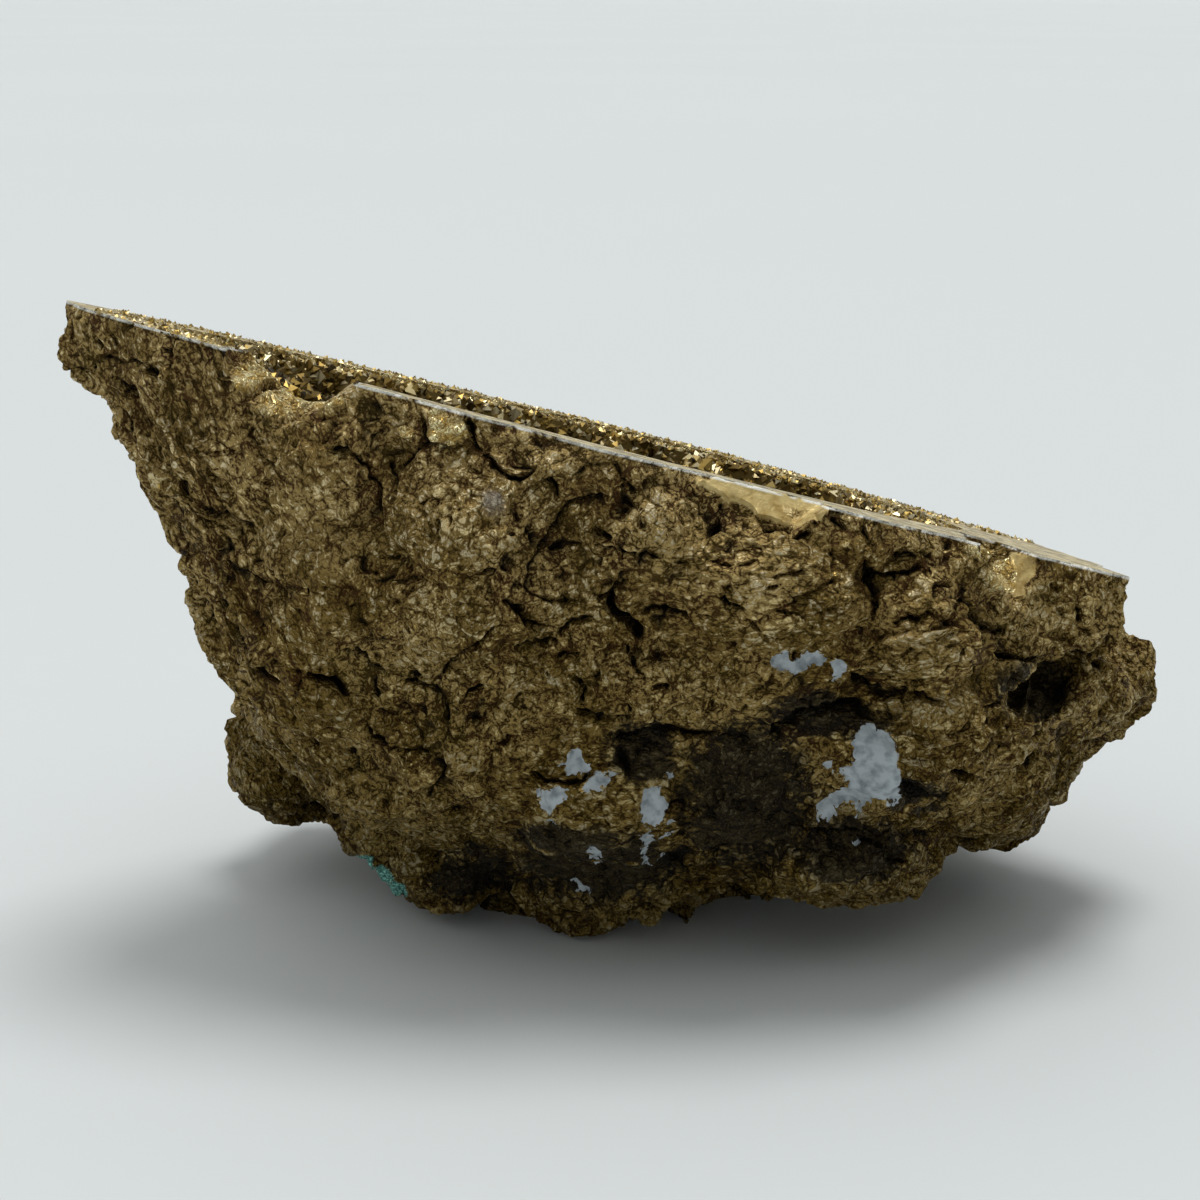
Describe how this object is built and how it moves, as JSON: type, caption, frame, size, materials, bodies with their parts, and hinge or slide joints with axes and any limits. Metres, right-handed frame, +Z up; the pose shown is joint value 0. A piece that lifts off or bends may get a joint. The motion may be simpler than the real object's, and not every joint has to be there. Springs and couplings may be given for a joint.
{
  "type": "chalcopyrite specimen",
  "caption": "Tarnished sulphide nodule, sawn aslant across the top to open a hollow lined with small brassy crystals; it stands on a small flat spot.",
  "frame": {"origin": "on the surface the nodule stands on, in the middle of its flat rest spot", "axes": "X along the length of the sawn face, from its high left end to its low right end as seen from the front; Y from the front to the back; Z up"},
  "size_m": [0.0552, 0.0373, 0.0324],
  "materials": {
    "tarnished_ore": "satin brown tarnish, wrinkled and lumpy; the sawn rim is polished",
    "brassy_crystals": "bright metallic crystal faces"
  },
  "bodies": {
    "root": {"ore_mass": "tarnished_ore", "druse_crust": "brassy_crystals"}
  },
  "joints": []
}
